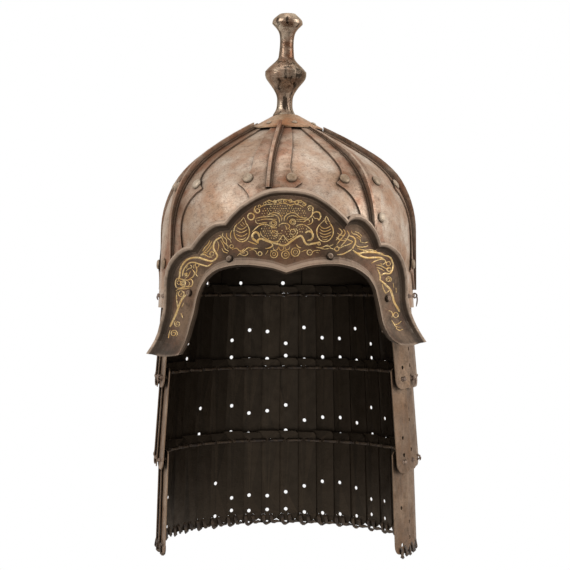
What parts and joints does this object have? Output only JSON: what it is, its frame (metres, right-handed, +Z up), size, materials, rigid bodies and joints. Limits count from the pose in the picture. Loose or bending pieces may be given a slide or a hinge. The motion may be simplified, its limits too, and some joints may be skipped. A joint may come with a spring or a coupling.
{
  "type": "spangenhelm",
  "caption": "Riveted multi-plate iron helmet with cusped ridged straps, a turned plume finial, a cusped brow plate and a laced lamellar curtain over sides and nape.",
  "frame": {"origin": "centre of the bowl's rim plane, on the helmet's vertical axis", "axes": "+Z up along the finial, -Y out of the face opening, +X to the right of a viewer who faces the helmet"},
  "size_m": [0.2318, 0.2317, 0.463],
  "materials": {
    "bowl_iron": "worn brown patina with rust streaks",
    "strap_iron": "worn dark brown patina, edges rubbed bright",
    "lamella_iron": "russet iron, lightly pitted",
    "brow_iron": "hatched dark ground overlaid with worn gold ornament",
    "leather_thong": "dry dark leather"
  },
  "bodies": {
    "helmet": {"bowl_plate_1": "bowl_iron", "bowl_plate_2": "bowl_iron", "bowl_plate_3": "bowl_iron", "bowl_plate_4": "bowl_iron", "bowl_plate_5": "bowl_iron", "bowl_plate_6": "bowl_iron", "bowl_plate_7": "bowl_iron", "bowl_plate_8": "bowl_iron", "strap_1": "strap_iron", "strap_2": "strap_iron", "strap_3": "strap_iron", "strap_4": "strap_iron", "strap_5": "strap_iron", "strap_6": "strap_iron", "strap_7": "strap_iron", "strap_8": "strap_iron", "strap_rivets_upper": "strap_iron", "strap_rivets_lower": "strap_iron", "repair_rivet": "strap_iron", "cap_rivets": "strap_iron", "brow_rivets": "strap_iron", "crown_cap": "strap_iron", "finial": "strap_iron", "crown_washer": "strap_iron", "brow_plate": "brow_iron", "rim_lace_outer": "leather_thong"},
    "row_1": {"row_1_left_side": "lamella_iron", "row_1_nape": "lamella_iron", "row_1_right_side": "lamella_iron", "rim_lace_inner": "leather_thong", "row_1_lace_outer": "leather_thong"},
    "row_2": {"row_2_left_side": "lamella_iron", "row_2_nape": "lamella_iron", "row_2_right_side": "lamella_iron", "row_2_lace_inner": "leather_thong", "row_2_lace_outer": "leather_thong"},
    "row_3": {"row_3_left_side": "lamella_iron", "row_3_nape": "lamella_iron", "row_3_right_side": "lamella_iron", "row_3_lace_inner": "leather_thong", "edging_lace": "leather_thong"}
  },
  "joints": [
    {"name": "row_1_ride", "type": "slide", "parent": "helmet", "child": "row_1", "axis": [0, 0, 1], "range_m": [0, 0.006]},
    {"name": "row_2_ride", "type": "slide", "parent": "row_1", "child": "row_2", "axis": [0, 0, 1], "range_m": [0, 0.006]},
    {"name": "row_3_ride", "type": "slide", "parent": "row_2", "child": "row_3", "axis": [0, 0, 1], "range_m": [0, 0.006]}
  ]
}
